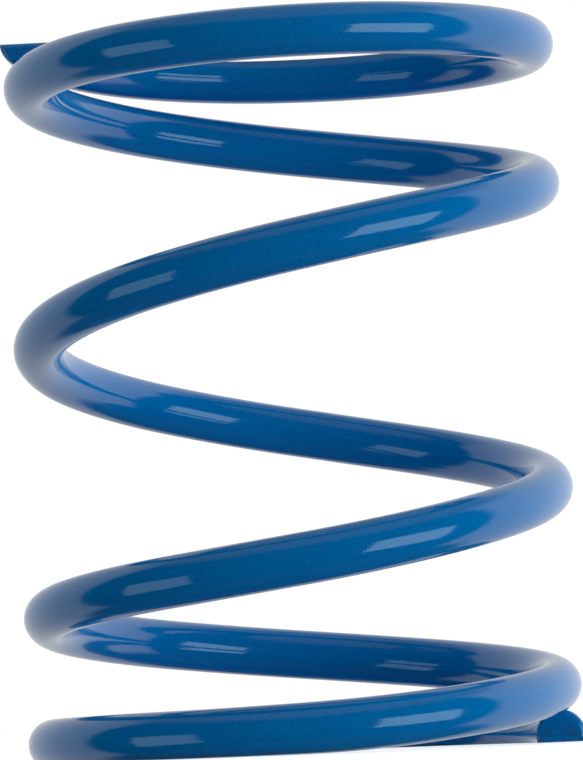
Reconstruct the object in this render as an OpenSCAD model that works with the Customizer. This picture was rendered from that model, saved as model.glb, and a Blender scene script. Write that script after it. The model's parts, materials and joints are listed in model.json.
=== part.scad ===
// Right-hand compression coil spring for a car's suspension.
// One round wire, wound open between two closed and ground end coils.
// The wire is divided into short sections, each one circular arc. When the spring is pressed,
// the sections between the end coils slide down the spring's axis, each by its own share of
// the travel, and pass one another on upright faces. Each end coil's sections stay together.
// Millimetres. +Z is up the spring's axis and the lower ground face lies at z = 0.
// The lower end of the wire lies towards +X, and angles run anticlockwise from there.

/* [Spring] */
// Inside diameter, which slips over the damper or its perch
inner_d = 63.5; // [50:0.5:90]
// Diameter of the coated wire
wire_d = 7.1; // [5:0.1:9]
// Free length between the two ground faces
free_length = 101.6; // [90:0.1:150]

/* [Pitch] */
// Rise in one turn where the wire lies on its lower seat
end_pitch = 2.8; // [1:0.1:4]
// Rise in one turn of the closer lower coils
lower_pitch = 23.2; // [19:0.1:28]
// Length of the bend that lifts the wire off its lower seat, in degrees of turn
lift_arc = 72; // [50:1:90]
// Angle up the wire where the coils start to open out
open_from = 595; // [560:5:640]
// Angle up the wire where the open coils reach their full pitch
open_to = 675; // [660:5:720]
// Angle up the wire where the open coils start to close
close_from = 1055; // [1000:5:1080]
// Angle up the wire where it lies on its upper seat
close_to = 1400; // [1360:5:1430]

/* [Ground ends] */
// Thickness that grinding leaves at the wire's lower end
lower_tip_t = 4.6; // [2:0.1:5]
// Thickness that grinding leaves at the wire's upper end
upper_tip_t = 3.3; // [2:0.1:5]
// Gap between each end of the wire and the coil that passes it
tip_gap = 0.15; // [0.1:0.05:0.5]
// How far each end of the wire springs out past the coil
tip_spread = 0.5; // [0.1:0.1:1]
// Length of wire that springs out at each end, in degrees of turn
tip_arc = 60; // [30:30:60]
// Length of the bend that lifts the upper end over its coil, in degrees of turn
tip_lift_arc = 110; // [60:5:150]

/* [Sections] */
// Slit between two sections that slide past each other
slit = 0.05; // [0.02:0.01:0.1]

/* [Hidden] */
$fn = 64;
TURNS = 4.5;
SECTION_ARC = 30;   // degrees of turn in each section
END_SECTIONS = 13;  // sections in each end coil
WIRE_ARC = 360 * TURNS;
SECTIONS = WIRE_ARC / SECTION_ARC;
ACTIVE_SECTIONS = SECTIONS - 2 * END_SECTIONS;

wire_r = wire_d / 2;
mean_r = (inner_d + wire_d) / 2;
turn_length = 2 * PI * mean_r;
past = 2 * inner_d;                // how far a cutting block reaches past the spring
half_slit = asin(slit / 2 / mean_r); // as an angle at the wire
spare = 5;                         // degrees that a sliding section is made long before it is cut

function numbered(name, k) = str(name, k < 10 ? "_0" : "_", k);

// ---- Pitch along the wire ----
// A smooth step from 0 to 1 between two angles, and the area under it up to angle a
function part_way(a, from, to) = min(1, max(0, (a - from) / (to - from)));
function ramp(a, from, to) = let (t = part_way(a, from, to)) t * t * (3 - 2 * t);
function area(a, from, to) =
    let (t = part_way(a, from, to)) (to - from) * (t * t * t - pow(t, 4) / 2) + max(0, a - to);

// The coil beside each end of the wire clears it by tip_gap, which fixes the last turn's rise
end_rise = wire_d + tip_gap;
lift_from = (360 * (lower_pitch - end_rise) - (lower_pitch - end_pitch) * lift_arc / 2)
    / (lower_pitch - end_pitch);
lift_to = lift_from + lift_arc;
tip_from = WIRE_ARC - tip_lift_arc;
first_z = lower_tip_t - wire_r;
last_z = free_length - upper_tip_t + wire_r;

lift_area = area(WIRE_ARC, lift_from, lift_to);
open_area = area(WIRE_ARC, open_from, open_to);
close_area = area(WIRE_ARC, close_from, close_to);
close_area_before = area(WIRE_ARC - 360, close_from, close_to);

// The wire ends at the slope of the coil below it, which has this share of its closing still
// to do. So nowhere are the two closer than at the end of the wire.
still_open = 1 - ramp(WIRE_ARC - 360, close_from, close_to);
tip_area = still_open * area(WIRE_ARC, tip_from, WIRE_ARC);

// The open coils' pitch, and how much of it closes, follow from the free length and from the
// last turn's rise
last_turn_area = close_area - close_area_before - tip_area;
closing_rate = 360 * (close_area - tip_area) / last_turn_area;
open_pitch = (360 * (last_z - first_z) - WIRE_ARC * end_pitch
    - (lower_pitch - end_pitch) * lift_area + lower_pitch * open_area
    - closing_rate * end_rise) / (open_area - closing_rate);
closing = 360 * (open_pitch - end_rise) / last_turn_area;

function pitch(a) = end_pitch
    + (lower_pitch - end_pitch) * ramp(a, lift_from, lift_to)
    + (open_pitch - lower_pitch) * ramp(a, open_from, open_to)
    - closing * ramp(a, close_from, close_to)
    + closing * still_open * ramp(a, tip_from, WIRE_ARC);
function slope(a) = atan(pitch(a) / turn_length);

// ---- Centre line, a chain of circular arcs ----
// Each frame sits on the wire with X outward, Y along the wire and Z across it
function move(x, y, z) = [[1, 0, 0, x], [0, 1, 0, y], [0, 0, 1, z], [0, 0, 0, 1]];
function turn_x(a) = [[1, 0, 0, 0], [0, cos(a), -sin(a), 0], [0, sin(a), cos(a), 0], [0, 0, 0, 1]];
function turn_y(a) = [[cos(a), 0, sin(a), 0], [0, 1, 0, 0], [-sin(a), 0, cos(a), 0], [0, 0, 0, 1]];
function turn_z(a) = [[cos(a), -sin(a), 0, 0], [sin(a), cos(a), 0, 0], [0, 0, 1, 0], [0, 0, 0, 1]];
function bend(r, a) = move(-r, 0, 0) * turn_z(a) * move(r, 0, 0);

// Near each end of the wire the bend is this much straighter, so that the end springs out
tip_ease = tip_spread / (mean_r * (1 - cos(tip_arc)));
function near_tip(a) = min(a, WIRE_ARC - a) < tip_arc;

// The section's arc from angle a on: [radius, angle, lean of its plane, twist along it]
function arc(a) = let (
    mid = a + SECTION_ARC / 2,
    level_turn = SECTION_ARC * cos(slope(mid)) * (near_tip(mid) ? 1 - tip_ease : 1),
    upward_turn = slope(a + SECTION_ARC) - slope(a),
    angle = norm([level_turn, upward_turn])
) [mean_r * SECTION_ARC / cos(slope(mid)) / angle,
    angle,
    atan2(upward_turn, level_turn),
    SECTION_ARC * sin(slope(mid))];

function into_arc(frame, arc) = frame * turn_y(arc[3] / 2 + arc[2]);
function past_arc(frame, arc) =
    into_arc(frame, arc) * bend(arc[0], arc[1]) * turn_y(arc[3] / 2 - arc[2]);

WIRE_END = turn_z(tip_arc) * move(mean_r, 0, first_z)
    * bend(mean_r / (1 - tip_ease), -tip_arc * (1 - tip_ease)) * turn_x(slope(0));
ARCS = [for (k = [0:SECTIONS - 1]) arc(k * SECTION_ARC)];
FRAMES = [for (k = 0, frame = WIRE_END; k < SECTIONS; frame = past_arc(frame, ARCS[k]), k = k + 1)
    into_arc(frame, ARCS[k])];

// ---- Sub-parts ----
// A section slides past its neighbour at cut k, counted from 0 at the wire's lower end
function slides_at(k) = k >= END_SECTIONS && k <= SECTIONS - END_SECTIONS;

// The upright slot between two planes through the spring's axis
module between(from, to) {
    rotate([0, 0, from])
        rotate_extrude(angle = to - from, $fn = 360)
            translate([inner_d / 4, -past])
                square([inner_d / 2, 2 * past + free_length]);
}

// Section k of the wire, counted from 0. Where it slides on a neighbour it is made a little
// long and cut upright, half a slit short of the cut.
module wire_section(k) {
    bend_r = ARCS[k][0];
    start_spare = slides_at(k) ? spare : 0;
    stop_spare = slides_at(k + 1) ? spare : 0;
    start = k * SECTION_ARC + (start_spare > 0 ? half_slit : -spare);
    stop = (k + 1) * SECTION_ARC - (stop_spare > 0 ? half_slit : -spare);
    intersection() {
        multmatrix(FRAMES[k])
            translate([-bend_r, 0, 0])
                rotate([0, 0, -start_spare])
                    rotate_extrude(angle = ARCS[k][1] + start_spare + stop_spare, $fn = 360)
                        translate([bend_r, 0])
                            circle(r = wire_r, $fn = 48);
        if (start_spare + stop_spare > 0)
            between(start, stop);
    }
}

// What a grinding wheel takes off beyond a level face
module ground_off(z) {
    translate([-past / 2, -past / 2, z])
        cube(past);
}

module lower_end_coil(k) {
    color([0.0, 0.24, 0.50])
        difference() {
            wire_section(k - 1);
            ground_off(-past);
        }
}

module active_coil(k) {
    color(k % 2 == 1 ? [0.0, 0.38, 0.70] : [0.0, 0.31, 0.60])
        wire_section(END_SECTIONS + k - 1);
}

module upper_end_coil(k) {
    color([0.0, 0.24, 0.50])
        difference() {
            wire_section(SECTIONS - END_SECTIONS + k - 1);
            ground_off(free_length);
        }
}

for (k = [1:END_SECTIONS])
    lower_end_coil(k);
for (k = [1:ACTIVE_SECTIONS])
    active_coil(k);
for (k = [1:END_SECTIONS])
    upper_end_coil(k);
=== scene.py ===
import json
import math

import bpy
import numpy as np
from mathutils import Matrix, Vector


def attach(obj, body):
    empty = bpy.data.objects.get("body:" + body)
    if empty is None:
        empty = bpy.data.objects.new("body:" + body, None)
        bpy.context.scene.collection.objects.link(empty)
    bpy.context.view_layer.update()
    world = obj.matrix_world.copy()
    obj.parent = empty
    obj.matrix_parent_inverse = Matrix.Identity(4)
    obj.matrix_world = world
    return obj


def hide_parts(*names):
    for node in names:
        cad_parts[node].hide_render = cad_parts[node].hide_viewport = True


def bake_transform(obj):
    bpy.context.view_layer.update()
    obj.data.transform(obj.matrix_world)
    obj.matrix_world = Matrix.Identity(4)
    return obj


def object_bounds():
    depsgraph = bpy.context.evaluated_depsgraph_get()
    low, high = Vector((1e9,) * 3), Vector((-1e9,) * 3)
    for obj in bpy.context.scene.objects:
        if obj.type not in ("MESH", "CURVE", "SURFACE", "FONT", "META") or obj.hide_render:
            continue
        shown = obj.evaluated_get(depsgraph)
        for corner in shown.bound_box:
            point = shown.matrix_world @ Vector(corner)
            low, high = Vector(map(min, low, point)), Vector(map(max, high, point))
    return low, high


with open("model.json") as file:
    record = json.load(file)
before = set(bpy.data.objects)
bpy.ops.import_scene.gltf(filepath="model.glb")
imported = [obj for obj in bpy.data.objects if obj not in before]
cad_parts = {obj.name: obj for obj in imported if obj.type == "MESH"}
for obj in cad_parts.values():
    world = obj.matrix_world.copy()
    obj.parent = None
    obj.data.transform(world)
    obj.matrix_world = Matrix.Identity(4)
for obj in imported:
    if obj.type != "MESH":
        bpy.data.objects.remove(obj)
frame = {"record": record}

CAD_LOW, CAD_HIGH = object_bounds()
MM = 0.001

# ---- Driving sizes, the same as the CAD model's ----
FREE_LENGTH = CAD_HIGH.z
INNER_D = 2 * MM * next(m for m in frame["record"]["mounts"] if m["name"] == "inside")["dims"]["r_mm"]
WIRE_D = 7.1 * MM
END_PITCH = 2.8 * MM
LOWER_PITCH = 23.2 * MM
LOWER_TIP_T = 4.6 * MM
UPPER_TIP_T = 3.3 * MM
TIP_GAP = 0.15 * MM
TIP_SPREAD = 0.5 * MM
TIP_ARC = 60
TIP_LIFT_ARC = 110
LIFT_ARC = 72
OPEN_FROM, OPEN_TO = 595, 675
CLOSE_FROM, CLOSE_TO = 1055, 1400
SECTION_ARC = 30
SECTIONS = 54
END_SECTIONS = 13
EASE_ARC = 120           # how far up the wire the coils take to start, or stop, closing up

# ---- Finish of the mesh ----
SKIN = 0.01 * MM         # the drawn wire is this much thinner, so that it stays in the CAD's box
AROUND = 112             # points around the wire
RING_STEP = 2.5          # degrees between rings
GROUND_EDGE = 0.22 * MM  # half the height over which a ground edge is rounded off
THIN_BAND = 0.88 * MM    # how far from a ground edge the coat thins out
TIP_EDGE = 0.8 * MM      # rounding of the wire's sawn ends
TIP_RINGS = 8

WIRE_ARC = SECTIONS * SECTION_ARC
WIRE_R = WIRE_D / 2
MEAN_R = (INNER_D + WIRE_D) / 2
TURN_LENGTH = 2 * math.pi * MEAN_R
PRESS_FROM = END_SECTIONS * SECTION_ARC
PRESS_TO = WIRE_ARC - PRESS_FROM


# ---- Pitch along the wire ----
def ramp(a, start, stop):
    """A smooth step from 0 to 1 between two angles."""
    t = min(1.0, max(0.0, (a - start) / (stop - start)))
    return t * t * (3 - 2 * t)


def area(a, start, stop):
    """The area under that step, up to angle a."""
    t = min(1.0, max(0.0, (a - start) / (stop - start)))
    return (stop - start) * (t**3 - t**4 / 2) + max(0.0, a - stop)


END_RISE = WIRE_D + TIP_GAP
LIFT_DROP = (LOWER_PITCH - END_PITCH) * LIFT_ARC / 2
LIFT_FROM = (360 * (LOWER_PITCH - END_RISE) - LIFT_DROP) / (LOWER_PITCH - END_PITCH)
LIFT_TO = LIFT_FROM + LIFT_ARC
TIP_FROM = WIRE_ARC - TIP_LIFT_ARC
FIRST_Z = LOWER_TIP_T - WIRE_R
LAST_Z = FREE_LENGTH - UPPER_TIP_T + WIRE_R


def pitches():
    """The open coils' pitch, and how much of it closes. They follow from the free length, from
    the last turn's rise and from the wire ending at the slope of the coil below it."""
    lower = area(WIRE_ARC, LIFT_FROM, LIFT_TO)
    opened = area(WIRE_ARC, OPEN_FROM, OPEN_TO)
    closed = area(WIRE_ARC, CLOSE_FROM, CLOSE_TO)
    tip = STILL_OPEN * area(WIRE_ARC, TIP_FROM, WIRE_ARC)
    last_turn = closed - area(WIRE_ARC - 360, CLOSE_FROM, CLOSE_TO) - tip
    rate = 360 * (closed - tip) / last_turn
    rise = 360 * (LAST_Z - FIRST_Z) - WIRE_ARC * END_PITCH
    rise += LOWER_PITCH * opened - (LOWER_PITCH - END_PITCH) * lower
    pitch = (rise - rate * END_RISE) / (opened - rate)
    return pitch, 360 * (pitch - END_RISE) / last_turn


STILL_OPEN = 1 - ramp(WIRE_ARC - 360, CLOSE_FROM, CLOSE_TO)
OPEN_PITCH, CLOSING = pitches()


def slope(a):
    """How steeply the wire climbs at angle a, in radians."""
    pitch = END_PITCH + (LOWER_PITCH - END_PITCH) * ramp(a, LIFT_FROM, LIFT_TO)
    pitch += (OPEN_PITCH - LOWER_PITCH) * ramp(a, OPEN_FROM, OPEN_TO)
    pitch -= CLOSING * ramp(a, CLOSE_FROM, CLOSE_TO)
    pitch += CLOSING * STILL_OPEN * ramp(a, TIP_FROM, WIRE_ARC)
    return math.atan(pitch / TURN_LENGTH)


def share(a):
    """The part of the upper end's travel that the wire at angle a makes, from 0 to 1."""
    rise = area(a, PRESS_FROM, PRESS_FROM + EASE_ARC) - area(a, PRESS_TO - EASE_ARC, PRESS_TO)
    return rise / (PRESS_TO - PRESS_FROM - EASE_ARC)


# ---- Centre line, a chain of circular arcs ----
def bend(radius, angle):
    """Travel along an arc that starts at the origin along +Y and curves towards -X."""
    turned = Matrix.Rotation(angle, 4, "Z")
    return Matrix.Translation((-radius, 0, 0)) @ turned @ Matrix.Translation((radius, 0, 0))


def arc(a, tip_ease):
    """The section's arc from angle a on: its radius, angle, lean and twist."""
    middle = a + SECTION_ARC / 2
    climb = slope(middle)
    section = math.radians(SECTION_ARC)
    level_turn = section * math.cos(climb)
    if min(middle, WIRE_ARC - middle) < TIP_ARC:
        level_turn *= 1 - tip_ease
    upward_turn = slope(a + SECTION_ARC) - slope(a)
    angle = math.hypot(level_turn, upward_turn)
    radius = MEAN_R * section / math.cos(climb) / angle
    return radius, angle, math.atan2(upward_turn, level_turn), section * math.sin(climb)


def wire_arcs():
    """[(frame where the arc starts, its radius, its angle)] for each section of the wire."""
    tip_ease = TIP_SPREAD / (MEAN_R * (1 - math.cos(math.radians(TIP_ARC))))
    tip_turn = math.radians(TIP_ARC)
    place = Matrix.Rotation(tip_turn, 4, "Z") @ Matrix.Translation((MEAN_R, 0, FIRST_Z))
    place = place @ bend(MEAN_R / (1 - tip_ease), -tip_turn * (1 - tip_ease))
    place = place @ Matrix.Rotation(slope(0), 4, "X")
    found = []
    for k in range(SECTIONS):
        radius, angle, lean, twist = arc(k * SECTION_ARC, tip_ease)
        start = place @ Matrix.Rotation(twist / 2 + lean, 4, "Y")
        found.append((start, radius, angle))
        place = start @ bend(radius, angle) @ Matrix.Rotation(twist / 2 - lean, 4, "Y")
    return found


ARCS = wire_arcs()


def wire_at(a):
    """The centre of the wire at angle a, and the directions outward, along it and upward."""
    k = min(int(a // SECTION_ARC), SECTIONS - 1)
    start, radius, angle = ARCS[k]
    place = start @ bend(radius, angle * (a - k * SECTION_ARC) / SECTION_ARC)
    along = place.col[1].to_3d()
    up = (Vector((0, 0, 1)) - along * along.z).normalized()
    return place.col[3].to_3d(), along.cross(up), along, up


# ---- Surface of the wire ----
def kept_above(v, floor):
    """v where it is above floor, and floor elsewhere, with a small rounding between them."""
    over = v - floor
    rounded = (over + GROUND_EDGE) ** 2 / (4 * GROUND_EDGE)
    kept = np.where(over > GROUND_EDGE, over, np.where(over < -GROUND_EDGE, 0, rounded))
    return floor + kept


def ring(a, inset=0.0):
    """Points around the wire at angle a, ground level with both seats, and how near each point is
    to a ground edge. inset draws the whole outline in."""
    centre, outward, _, up = wire_at(a)
    angles = np.arange(AROUND) * 2 * math.pi / AROUND
    radius = WIRE_R - SKIN - inset
    across, height = radius * np.cos(angles), radius * np.sin(angles)
    floor = (inset - centre.z) / up.z
    roof = (FREE_LENGTH - inset - centre.z) / up.z
    edge = np.minimum(abs(height - floor), abs(height - roof)) / THIN_BAND
    height = kept_above(height, floor)
    height = -kept_above(-height, -roof)
    points = np.outer(across, outward) + np.outer(height, up) + np.array(centre)
    return points, np.clip(1 - edge, 0, 1)


def stations():
    """[(angle, inset)] of every ring, from the sawn lower end to the sawn upper end."""
    rounding = []
    for k in range(TIP_RINGS + 1):
        t = math.radians(90 * k / TIP_RINGS)
        back = math.degrees(TIP_EDGE * (1 - math.sin(t)) / MEAN_R)
        rounding.append((back, TIP_EDGE * (1 - math.cos(t))))
    lower = list(reversed(rounding))
    upper = [(WIRE_ARC - back, inset) for back, inset in rounding]
    count = round(WIRE_ARC / RING_STEP)
    return lower + [(k * RING_STEP, 0.0) for k in range(1, count)] + upper


def wire_surface():
    """Every ring's angle, points, normals and edge closeness, as arrays."""
    places = stations()
    rings = [ring(a, inset) for a, inset in places]
    points = np.array([r[0] for r in rings])
    forward = np.gradient(points, axis=0)
    around = np.roll(points, -1, axis=1) - np.roll(points, 1, axis=1)
    normals = np.cross(forward, around)
    normals /= np.linalg.norm(normals, axis=2, keepdims=True)
    return np.array([a for a, _ in places]), points, normals, np.array([r[1] for r in rings])


ANGLES, POINTS, NORMALS, EDGES = wire_surface()


def tube_faces(rings):
    """The faces between so many rings of points, and the two that close the tube."""
    sides = []
    for i in range(rings - 1):
        for j in range(AROUND):
            k = (j + 1) % AROUND
            a, b = i * AROUND, (i + 1) * AROUND
            sides.append((a + j, b + j, b + k, a + k))
    last = (rings - 1) * AROUND
    return sides, [tuple(range(AROUND)), tuple(last + j for j in reversed(range(AROUND)))]


def wire_piece(name, start, stop, material):
    """A closed length of the wire between two angles, with the angle of each of its points."""
    rows = np.flatnonzero((ANGLES >= start - 1e-6) & (ANGLES <= stop + 1e-6))
    points, normals = POINTS[rows].reshape(-1, 3), NORMALS[rows].reshape(-1, 3)
    faces, caps = tube_faces(len(rows))
    mesh = bpy.data.meshes.new(name)
    mesh.from_pydata(points.tolist(), [], faces + caps)
    mesh.polygons.foreach_set("use_smooth", [True] * len(faces) + [False] * len(caps))
    corner_normals = normals[np.array(faces).ravel()].tolist()
    for facing in (-wire_at(start)[2], wire_at(stop)[2]):
        corner_normals += [tuple(facing)] * AROUND
    mesh.normals_split_custom_set(corner_normals)
    closeness = mesh.attributes.new("ground_edge", "FLOAT", "POINT")
    closeness.data.foreach_set("value", EDGES[rows].ravel().astype(np.float32))
    mesh.materials.append(material)
    piece = bpy.data.objects.new(name, mesh)
    bpy.context.scene.collection.objects.link(piece)
    return piece, np.repeat(ANGLES[rows], AROUND)


# ---- Materials ----
DARK_BLUE = (0.0, 0.19, 0.54, 1)
LIGHT_BLUE = (0.0, 0.275, 0.70, 1)
THIN_COAT = (0.035, 0.10, 0.22, 1)
GRAIN, PEEL, PATCHES = 4200, 900, 500  # waves per metre
GRAIN_DEPTH, PEEL_DEPTH = 0.0022 * MM, 0.008 * MM
LEAST_THIN, MOST_THIN = 0.1, 0.9       # how much of the thin coat's colour shows on an edge
SMOOTHEST, ROUGHEST = 0.06, 0.13
COAT_IOR = 1.5
NOISE_LOW, NOISE_HIGH = 0.3, 0.7       # what a noise runs between


def new_material(name):
    material = bpy.data.materials.new(name)
    material.use_nodes = True
    return material, material.node_tree.nodes, material.node_tree.links


def noise(nodes, links, scale, detail=2.0):
    """A noise fixed to the object, with scale in waves per metre."""
    place = nodes.new("ShaderNodeTexCoord")
    texture = nodes.new("ShaderNodeTexNoise")
    texture.inputs["Scale"].default_value = scale
    texture.inputs["Detail"].default_value = detail
    links.new(place.outputs["Object"], texture.inputs["Vector"])
    return texture.outputs["Fac"]


def spread_over(nodes, links, value, low, high):
    """A noise's value, spread over low to high."""
    spread = nodes.new("ShaderNodeMapRange")
    spread.inputs["From Min"].default_value = NOISE_LOW
    spread.inputs["From Max"].default_value = NOISE_HIGH
    spread.inputs["To Min"].default_value = low
    spread.inputs["To Max"].default_value = high
    links.new(value, spread.inputs["Value"])
    return spread.outputs["Result"]


def combined(nodes, links, operation, first, second):
    node = nodes.new("ShaderNodeMath")
    node.operation = operation
    links.new(first, node.inputs[0])
    links.new(second, node.inputs[1])
    return node.outputs["Value"]


def bumped(nodes, links, height, depth, below=None):
    """A bump of this depth in metres, on top of another one."""
    bump = nodes.new("ShaderNodeBump")
    bump.inputs["Distance"].default_value = depth
    links.new(height, bump.inputs["Height"])
    if below:
        links.new(below, bump.inputs["Normal"])
    return bump.outputs["Normal"]


def powder_coat():
    """Glossy blue powder coat with fine grain and orange peel, thinner along the ground edges."""
    material, nodes, links = new_material("blue_powder_coat")
    shader = nodes["Principled BSDF"]
    tint = nodes.new("ShaderNodeMix")
    tint.data_type = "RGBA"
    tint.inputs["A"].default_value = DARK_BLUE
    tint.inputs["B"].default_value = LIGHT_BLUE
    grain = noise(nodes, links, GRAIN, detail=1.0)
    links.new(spread_over(nodes, links, grain, 0.0, 1.0), tint.inputs["Factor"])
    thin = nodes.new("ShaderNodeMix")
    thin.data_type = "RGBA"
    thin.inputs["B"].default_value = THIN_COAT
    links.new(tint.outputs["Result"], thin.inputs["A"])
    edge = nodes.new("ShaderNodeAttribute")
    edge.attribute_name = "ground_edge"
    patches = spread_over(nodes, links, noise(nodes, links, PATCHES), LEAST_THIN, MOST_THIN)
    showing = combined(nodes, links, "MULTIPLY", edge.outputs["Fac"], patches)
    links.new(showing, thin.inputs["Factor"])
    links.new(thin.outputs["Result"], shader.inputs["Base Color"])
    links.new(spread_over(nodes, links, grain, SMOOTHEST, ROUGHEST), shader.inputs["Roughness"])
    peel = bumped(nodes, links, noise(nodes, links, PEEL), PEEL_DEPTH)
    links.new(bumped(nodes, links, grain, GRAIN_DEPTH, peel), shader.inputs["Normal"])
    shader.inputs["IOR"].default_value = COAT_IOR
    return material


def plain(name, colour, roughness, glow):
    material, nodes, _ = new_material(name)
    shader = nodes["Principled BSDF"]
    shader.inputs["Base Color"].default_value = (*colour, 1)
    shader.inputs["Roughness"].default_value = roughness
    shader.inputs["Emission Color"].default_value = (1, 1, 1, 1)
    shader.inputs["Emission Strength"].default_value = glow
    return material


# ---- The spring ----
def numbered(name, count):
    return [f"{name}_{k:02d}" for k in range(1, count + 1)]


def make_spring():
    coat = powder_coat()
    lower, _ = wire_piece("lower_end_wire", 0, PRESS_FROM, coat)
    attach(lower, "lower_end_coil")
    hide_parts(*numbered("lower_end_coil", END_SECTIONS))
    upper, _ = wire_piece("upper_end_wire", PRESS_TO, WIRE_ARC, coat)
    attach(upper, "upper_end_coil")
    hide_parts(*numbered("upper_end_coil", END_SECTIONS))
    for k, node in enumerate(numbered("active_coil", SECTIONS - 2 * END_SECTIONS)):
        start = PRESS_FROM + k * SECTION_ARC
        piece, angles = wire_piece(f"{node}_wire", start, start + SECTION_ARC, coat)
        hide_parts(node)
        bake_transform(piece)


# ---- Studio ----
CAMERA_BACK = 0.7631     # from the spring's axis
CAMERA_HEIGHT = 0.0051
LOOK_UP = 3.542          # how far above level the camera looks
ROLL = 2.337             # how far the camera leans to its right
LENS = 257.4             # focal length in millimetres
SOFTBOX_AWAY = 1.1       # from the middle of the spring
SOFTBOX_COLOUR = (0.62, 0.9, 1.0)
FLOOR_HALF = 3.0
FLOOR_GREY = 0.9
FLOOR_GLOW = 0.62

# The room is a sphere of light around the spring. Its spans and blurs are parts of its radius.
WALL_CENTRE = 172.5      # azimuth that the white walls centre on; 0 is the camera's side
WALL_HALF_WIDTH = 85.5   # how far the walls reach each way round from there
WALL_LOW, WALL_HIGH = -43, 52  # elevations of their lower and upper edges
WALL_LOW_Z = math.sin(math.radians(WALL_LOW))
WALL_HIGH_Z = math.sin(math.radians(WALL_HIGH))
BLUR, HIGH_BLUR = 0.06, 0.08   # how softly the walls end, and how softly at their upper edge
WALL_RIGHT, WALL_BACK, WALL_LEFT = 1.3, 0.76, 0.82
RIGHT_SPAN = -0.1, 0.95  # X over which the back wall's brightness turns into the right one's
LEFT_SPAN = -0.95, -0.3  # X over which the left wall's brightness turns into the back one's
CEILING, GROUND = 0.38, 0.05
GROUND_SPAN = -0.9, -0.5  # Z over which the ground's brightness fades out


def toward(azimuth, elevation):
    """A direction; azimuth 0 is towards the camera and 90 is to its right."""
    a, e = math.radians(azimuth), math.radians(elevation)
    return Vector((math.sin(a) * math.cos(e), -math.cos(a) * math.cos(e), math.sin(e)))


def make_camera():
    data = bpy.data.cameras.new("camera")
    data.lens = LENS
    data.clip_start, data.clip_end = 0.01, 50
    camera = bpy.data.objects.new("camera", data)
    bpy.context.scene.collection.objects.link(camera)
    ahead = toward(180, LOOK_UP)
    facing = ahead.to_track_quat("-Z", "Y").to_matrix().to_4x4()
    rolled = facing @ Matrix.Rotation(math.radians(-ROLL), 4, "Z")
    camera.matrix_world = Matrix.Translation((0, -CAMERA_BACK, CAMERA_HEIGHT)) @ rolled
    bpy.context.scene.camera = camera


def make_floor():
    """A pale floor that takes the spring's shadow. The spring neither mirrors it nor gets light
    from it: the room reaches below it and lights the spring from there."""
    mesh = bpy.data.meshes.new("floor")
    corners = [(-1, -1), (1, -1), (1, 1), (-1, 1)]
    points = [(x * FLOOR_HALF, y * FLOOR_HALF, CAD_LOW.z - SKIN) for x, y in corners]
    mesh.from_pydata(points, [], [(0, 1, 2, 3)])
    mesh.materials.append(plain("floor", [FLOOR_GREY] * 3, roughness=0.9, glow=FLOOR_GLOW))
    floor = bpy.data.objects.new("floor", mesh)
    bpy.context.scene.collection.objects.link(floor)
    floor.visible_glossy = False
    floor.visible_diffuse = False
    floor.visible_shadow = False


def softbox(name, azimuth, elevation, width, height, radiance, seen=True):
    """A soft light, its width and height in degrees as the spring sees it. The gloss shows it
    if it is seen."""
    data = bpy.data.lights.new(name, "AREA")
    data.shape = "RECTANGLE"
    data.size = 2 * SOFTBOX_AWAY * math.tan(math.radians(width / 2))
    data.size_y = 2 * SOFTBOX_AWAY * math.tan(math.radians(height / 2))
    data.energy = radiance * math.pi * data.size * data.size_y
    data.color = SOFTBOX_COLOUR
    light = bpy.data.objects.new(name, data)
    bpy.context.scene.collection.objects.link(light)
    away = toward(azimuth, elevation)
    light.location = away * SOFTBOX_AWAY + Vector((0, 0, FREE_LENGTH / 2))
    light.rotation_euler = away.to_track_quat("Z", "Y").to_euler()
    light.visible_camera = False
    light.visible_glossy = seen


def stepped(nodes, links, value, start, stop, low=0.0, high=1.0):
    """low where value is under start, high over stop, and a smooth step between them."""
    step = nodes.new("ShaderNodeMapRange")
    step.interpolation_type = "SMOOTHSTEP"
    step.inputs["From Min"].default_value = start
    step.inputs["From Max"].default_value = stop
    step.inputs["To Min"].default_value = low
    step.inputs["To Max"].default_value = high
    links.new(value, step.inputs["Value"])
    return step.outputs["Result"]


def wall_share(nodes, links, direction, up):
    """1 in the directions where the walls stand, and 0 elsewhere, with soft edges. up is the
    direction's Z."""
    facing = nodes.new("ShaderNodeVectorMath")
    facing.operation = "DOT_PRODUCT"
    facing.inputs[1].default_value = toward(WALL_CENTRE, 0)
    links.new(direction, facing.inputs[0])
    edge = math.cos(math.radians(WALL_HALF_WIDTH))
    round_about = stepped(nodes, links, facing.outputs["Value"], edge - BLUR, edge + BLUR)
    over = stepped(nodes, links, up, WALL_LOW_Z - BLUR, WALL_LOW_Z + BLUR)
    under = stepped(nodes, links, up, WALL_HIGH_Z - HIGH_BLUR, WALL_HIGH_Z + HIGH_BLUR, 1.0, 0.0)
    band = combined(nodes, links, "MULTIPLY", over, under)
    return combined(nodes, links, "MULTIPLY", band, round_about)


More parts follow.
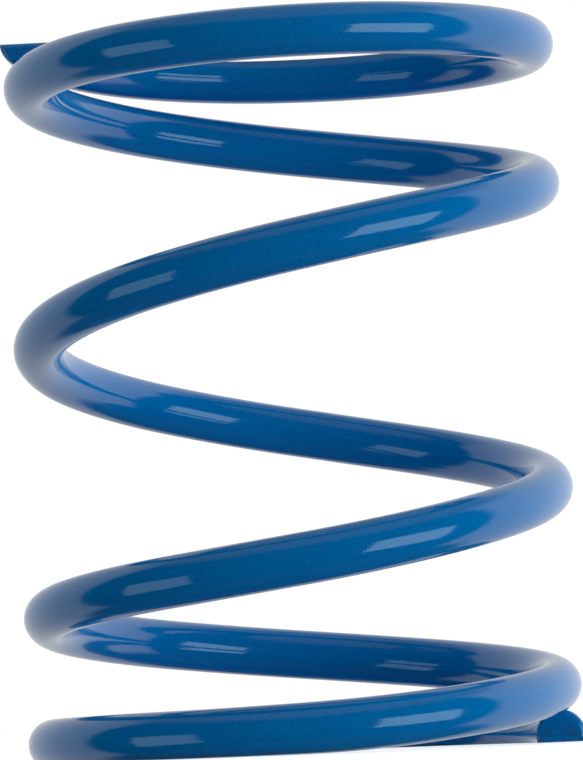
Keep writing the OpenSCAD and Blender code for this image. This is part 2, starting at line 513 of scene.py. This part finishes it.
def room_light(nodes, links, direction):
    """White walls to the right, behind and to the left, a dim ceiling, and dark elsewhere."""
    axes = nodes.new("ShaderNodeSeparateXYZ")
    links.new(direction, axes.inputs["Vector"])
    across, up = axes.outputs["X"], axes.outputs["Z"]
    to_right = stepped(nodes, links, across, *RIGHT_SPAN, WALL_BACK, WALL_RIGHT)
    to_left = stepped(nodes, links, across, *LEFT_SPAN, WALL_LEFT - WALL_BACK, 0.0)
    all_round = combined(nodes, links, "ADD", to_right, to_left)
    share = wall_share(nodes, links, direction, up)
    walls = combined(nodes, links, "MULTIPLY", all_round, share)
    ceiling_edge = WALL_HIGH_Z - HIGH_BLUR, WALL_HIGH_Z + 2 * BLUR
    ceiling = stepped(nodes, links, up, *ceiling_edge, 0.0, CEILING)
    ground = stepped(nodes, links, up, *GROUND_SPAN, GROUND, 0.0)
    dim = combined(nodes, links, "ADD", ceiling, ground)
    return combined(nodes, links, "ADD", walls, dim)


def make_surroundings():
    """The walls light the spring; the camera sees a white backdrop."""
    world = bpy.data.worlds.new("studio")
    bpy.context.scene.world = world
    world.use_nodes = True
    nodes, links = world.node_tree.nodes, world.node_tree.links
    direction = nodes.new("ShaderNodeTexCoord").outputs["Generated"]
    path = nodes.new("ShaderNodeLightPath")
    walls = nodes.new("ShaderNodeBackground")
    links.new(room_light(nodes, links, direction), walls.inputs["Strength"])
    seen = nodes["Background"]
    for shown in (walls, seen):
        shown.inputs["Color"].default_value = (1, 1, 1, 1)
    either = nodes.new("ShaderNodeMixShader")
    links.new(path.outputs["Is Camera Ray"], either.inputs["Fac"])
    links.new(walls.outputs["Background"], either.inputs[1])
    links.new(seen.outputs["Background"], either.inputs[2])
    links.new(either.outputs["Shader"], nodes["World Output"].inputs["Surface"])


def make_studio():
    make_camera()
    make_floor()
    make_surroundings()
    softbox("softbox_left", azimuth=-60, elevation=-12, width=30, height=34, radiance=1.45)
    softbox("softbox_right", azimuth=48, elevation=-5, width=36, height=34, radiance=3.2)
    softbox("fill", azimuth=15, elevation=28, width=60, height=50, radiance=0.45, seen=False)
    bpy.context.scene.view_settings.view_transform = "Standard"


make_studio()
make_spring()
